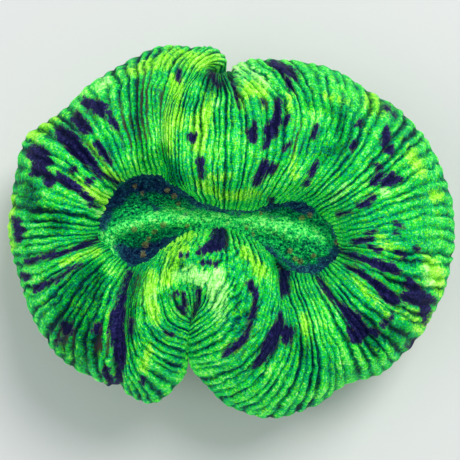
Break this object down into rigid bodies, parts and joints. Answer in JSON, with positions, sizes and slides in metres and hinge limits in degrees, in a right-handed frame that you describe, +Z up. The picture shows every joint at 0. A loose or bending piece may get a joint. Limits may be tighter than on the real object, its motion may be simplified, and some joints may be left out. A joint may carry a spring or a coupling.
{
  "type": "brain coral",
  "caption": "Folded brain coral with ribbed flesh round a winding valley, on a short skeleton stub cut flat to rest on.",
  "frame": {"origin": "middle of the flat cut at the foot of the skeleton", "axes": "+Z up out of the cut, +X along the coral's length, -Y towards the deep front fold"},
  "size_m": [0.068, 0.0573, 0.0335],
  "materials": {
    "flesh": "moist ribbed flesh, fluorescent green with dark purple patches and a fine granular surface",
    "disc": "granular teal flesh on the floor of the valley",
    "skeleton": "matt cream stony skeleton with fine upright ribs"
  },
  "bodies": {
    "root": {"coral": "flesh"}
  },
  "joints": []
}
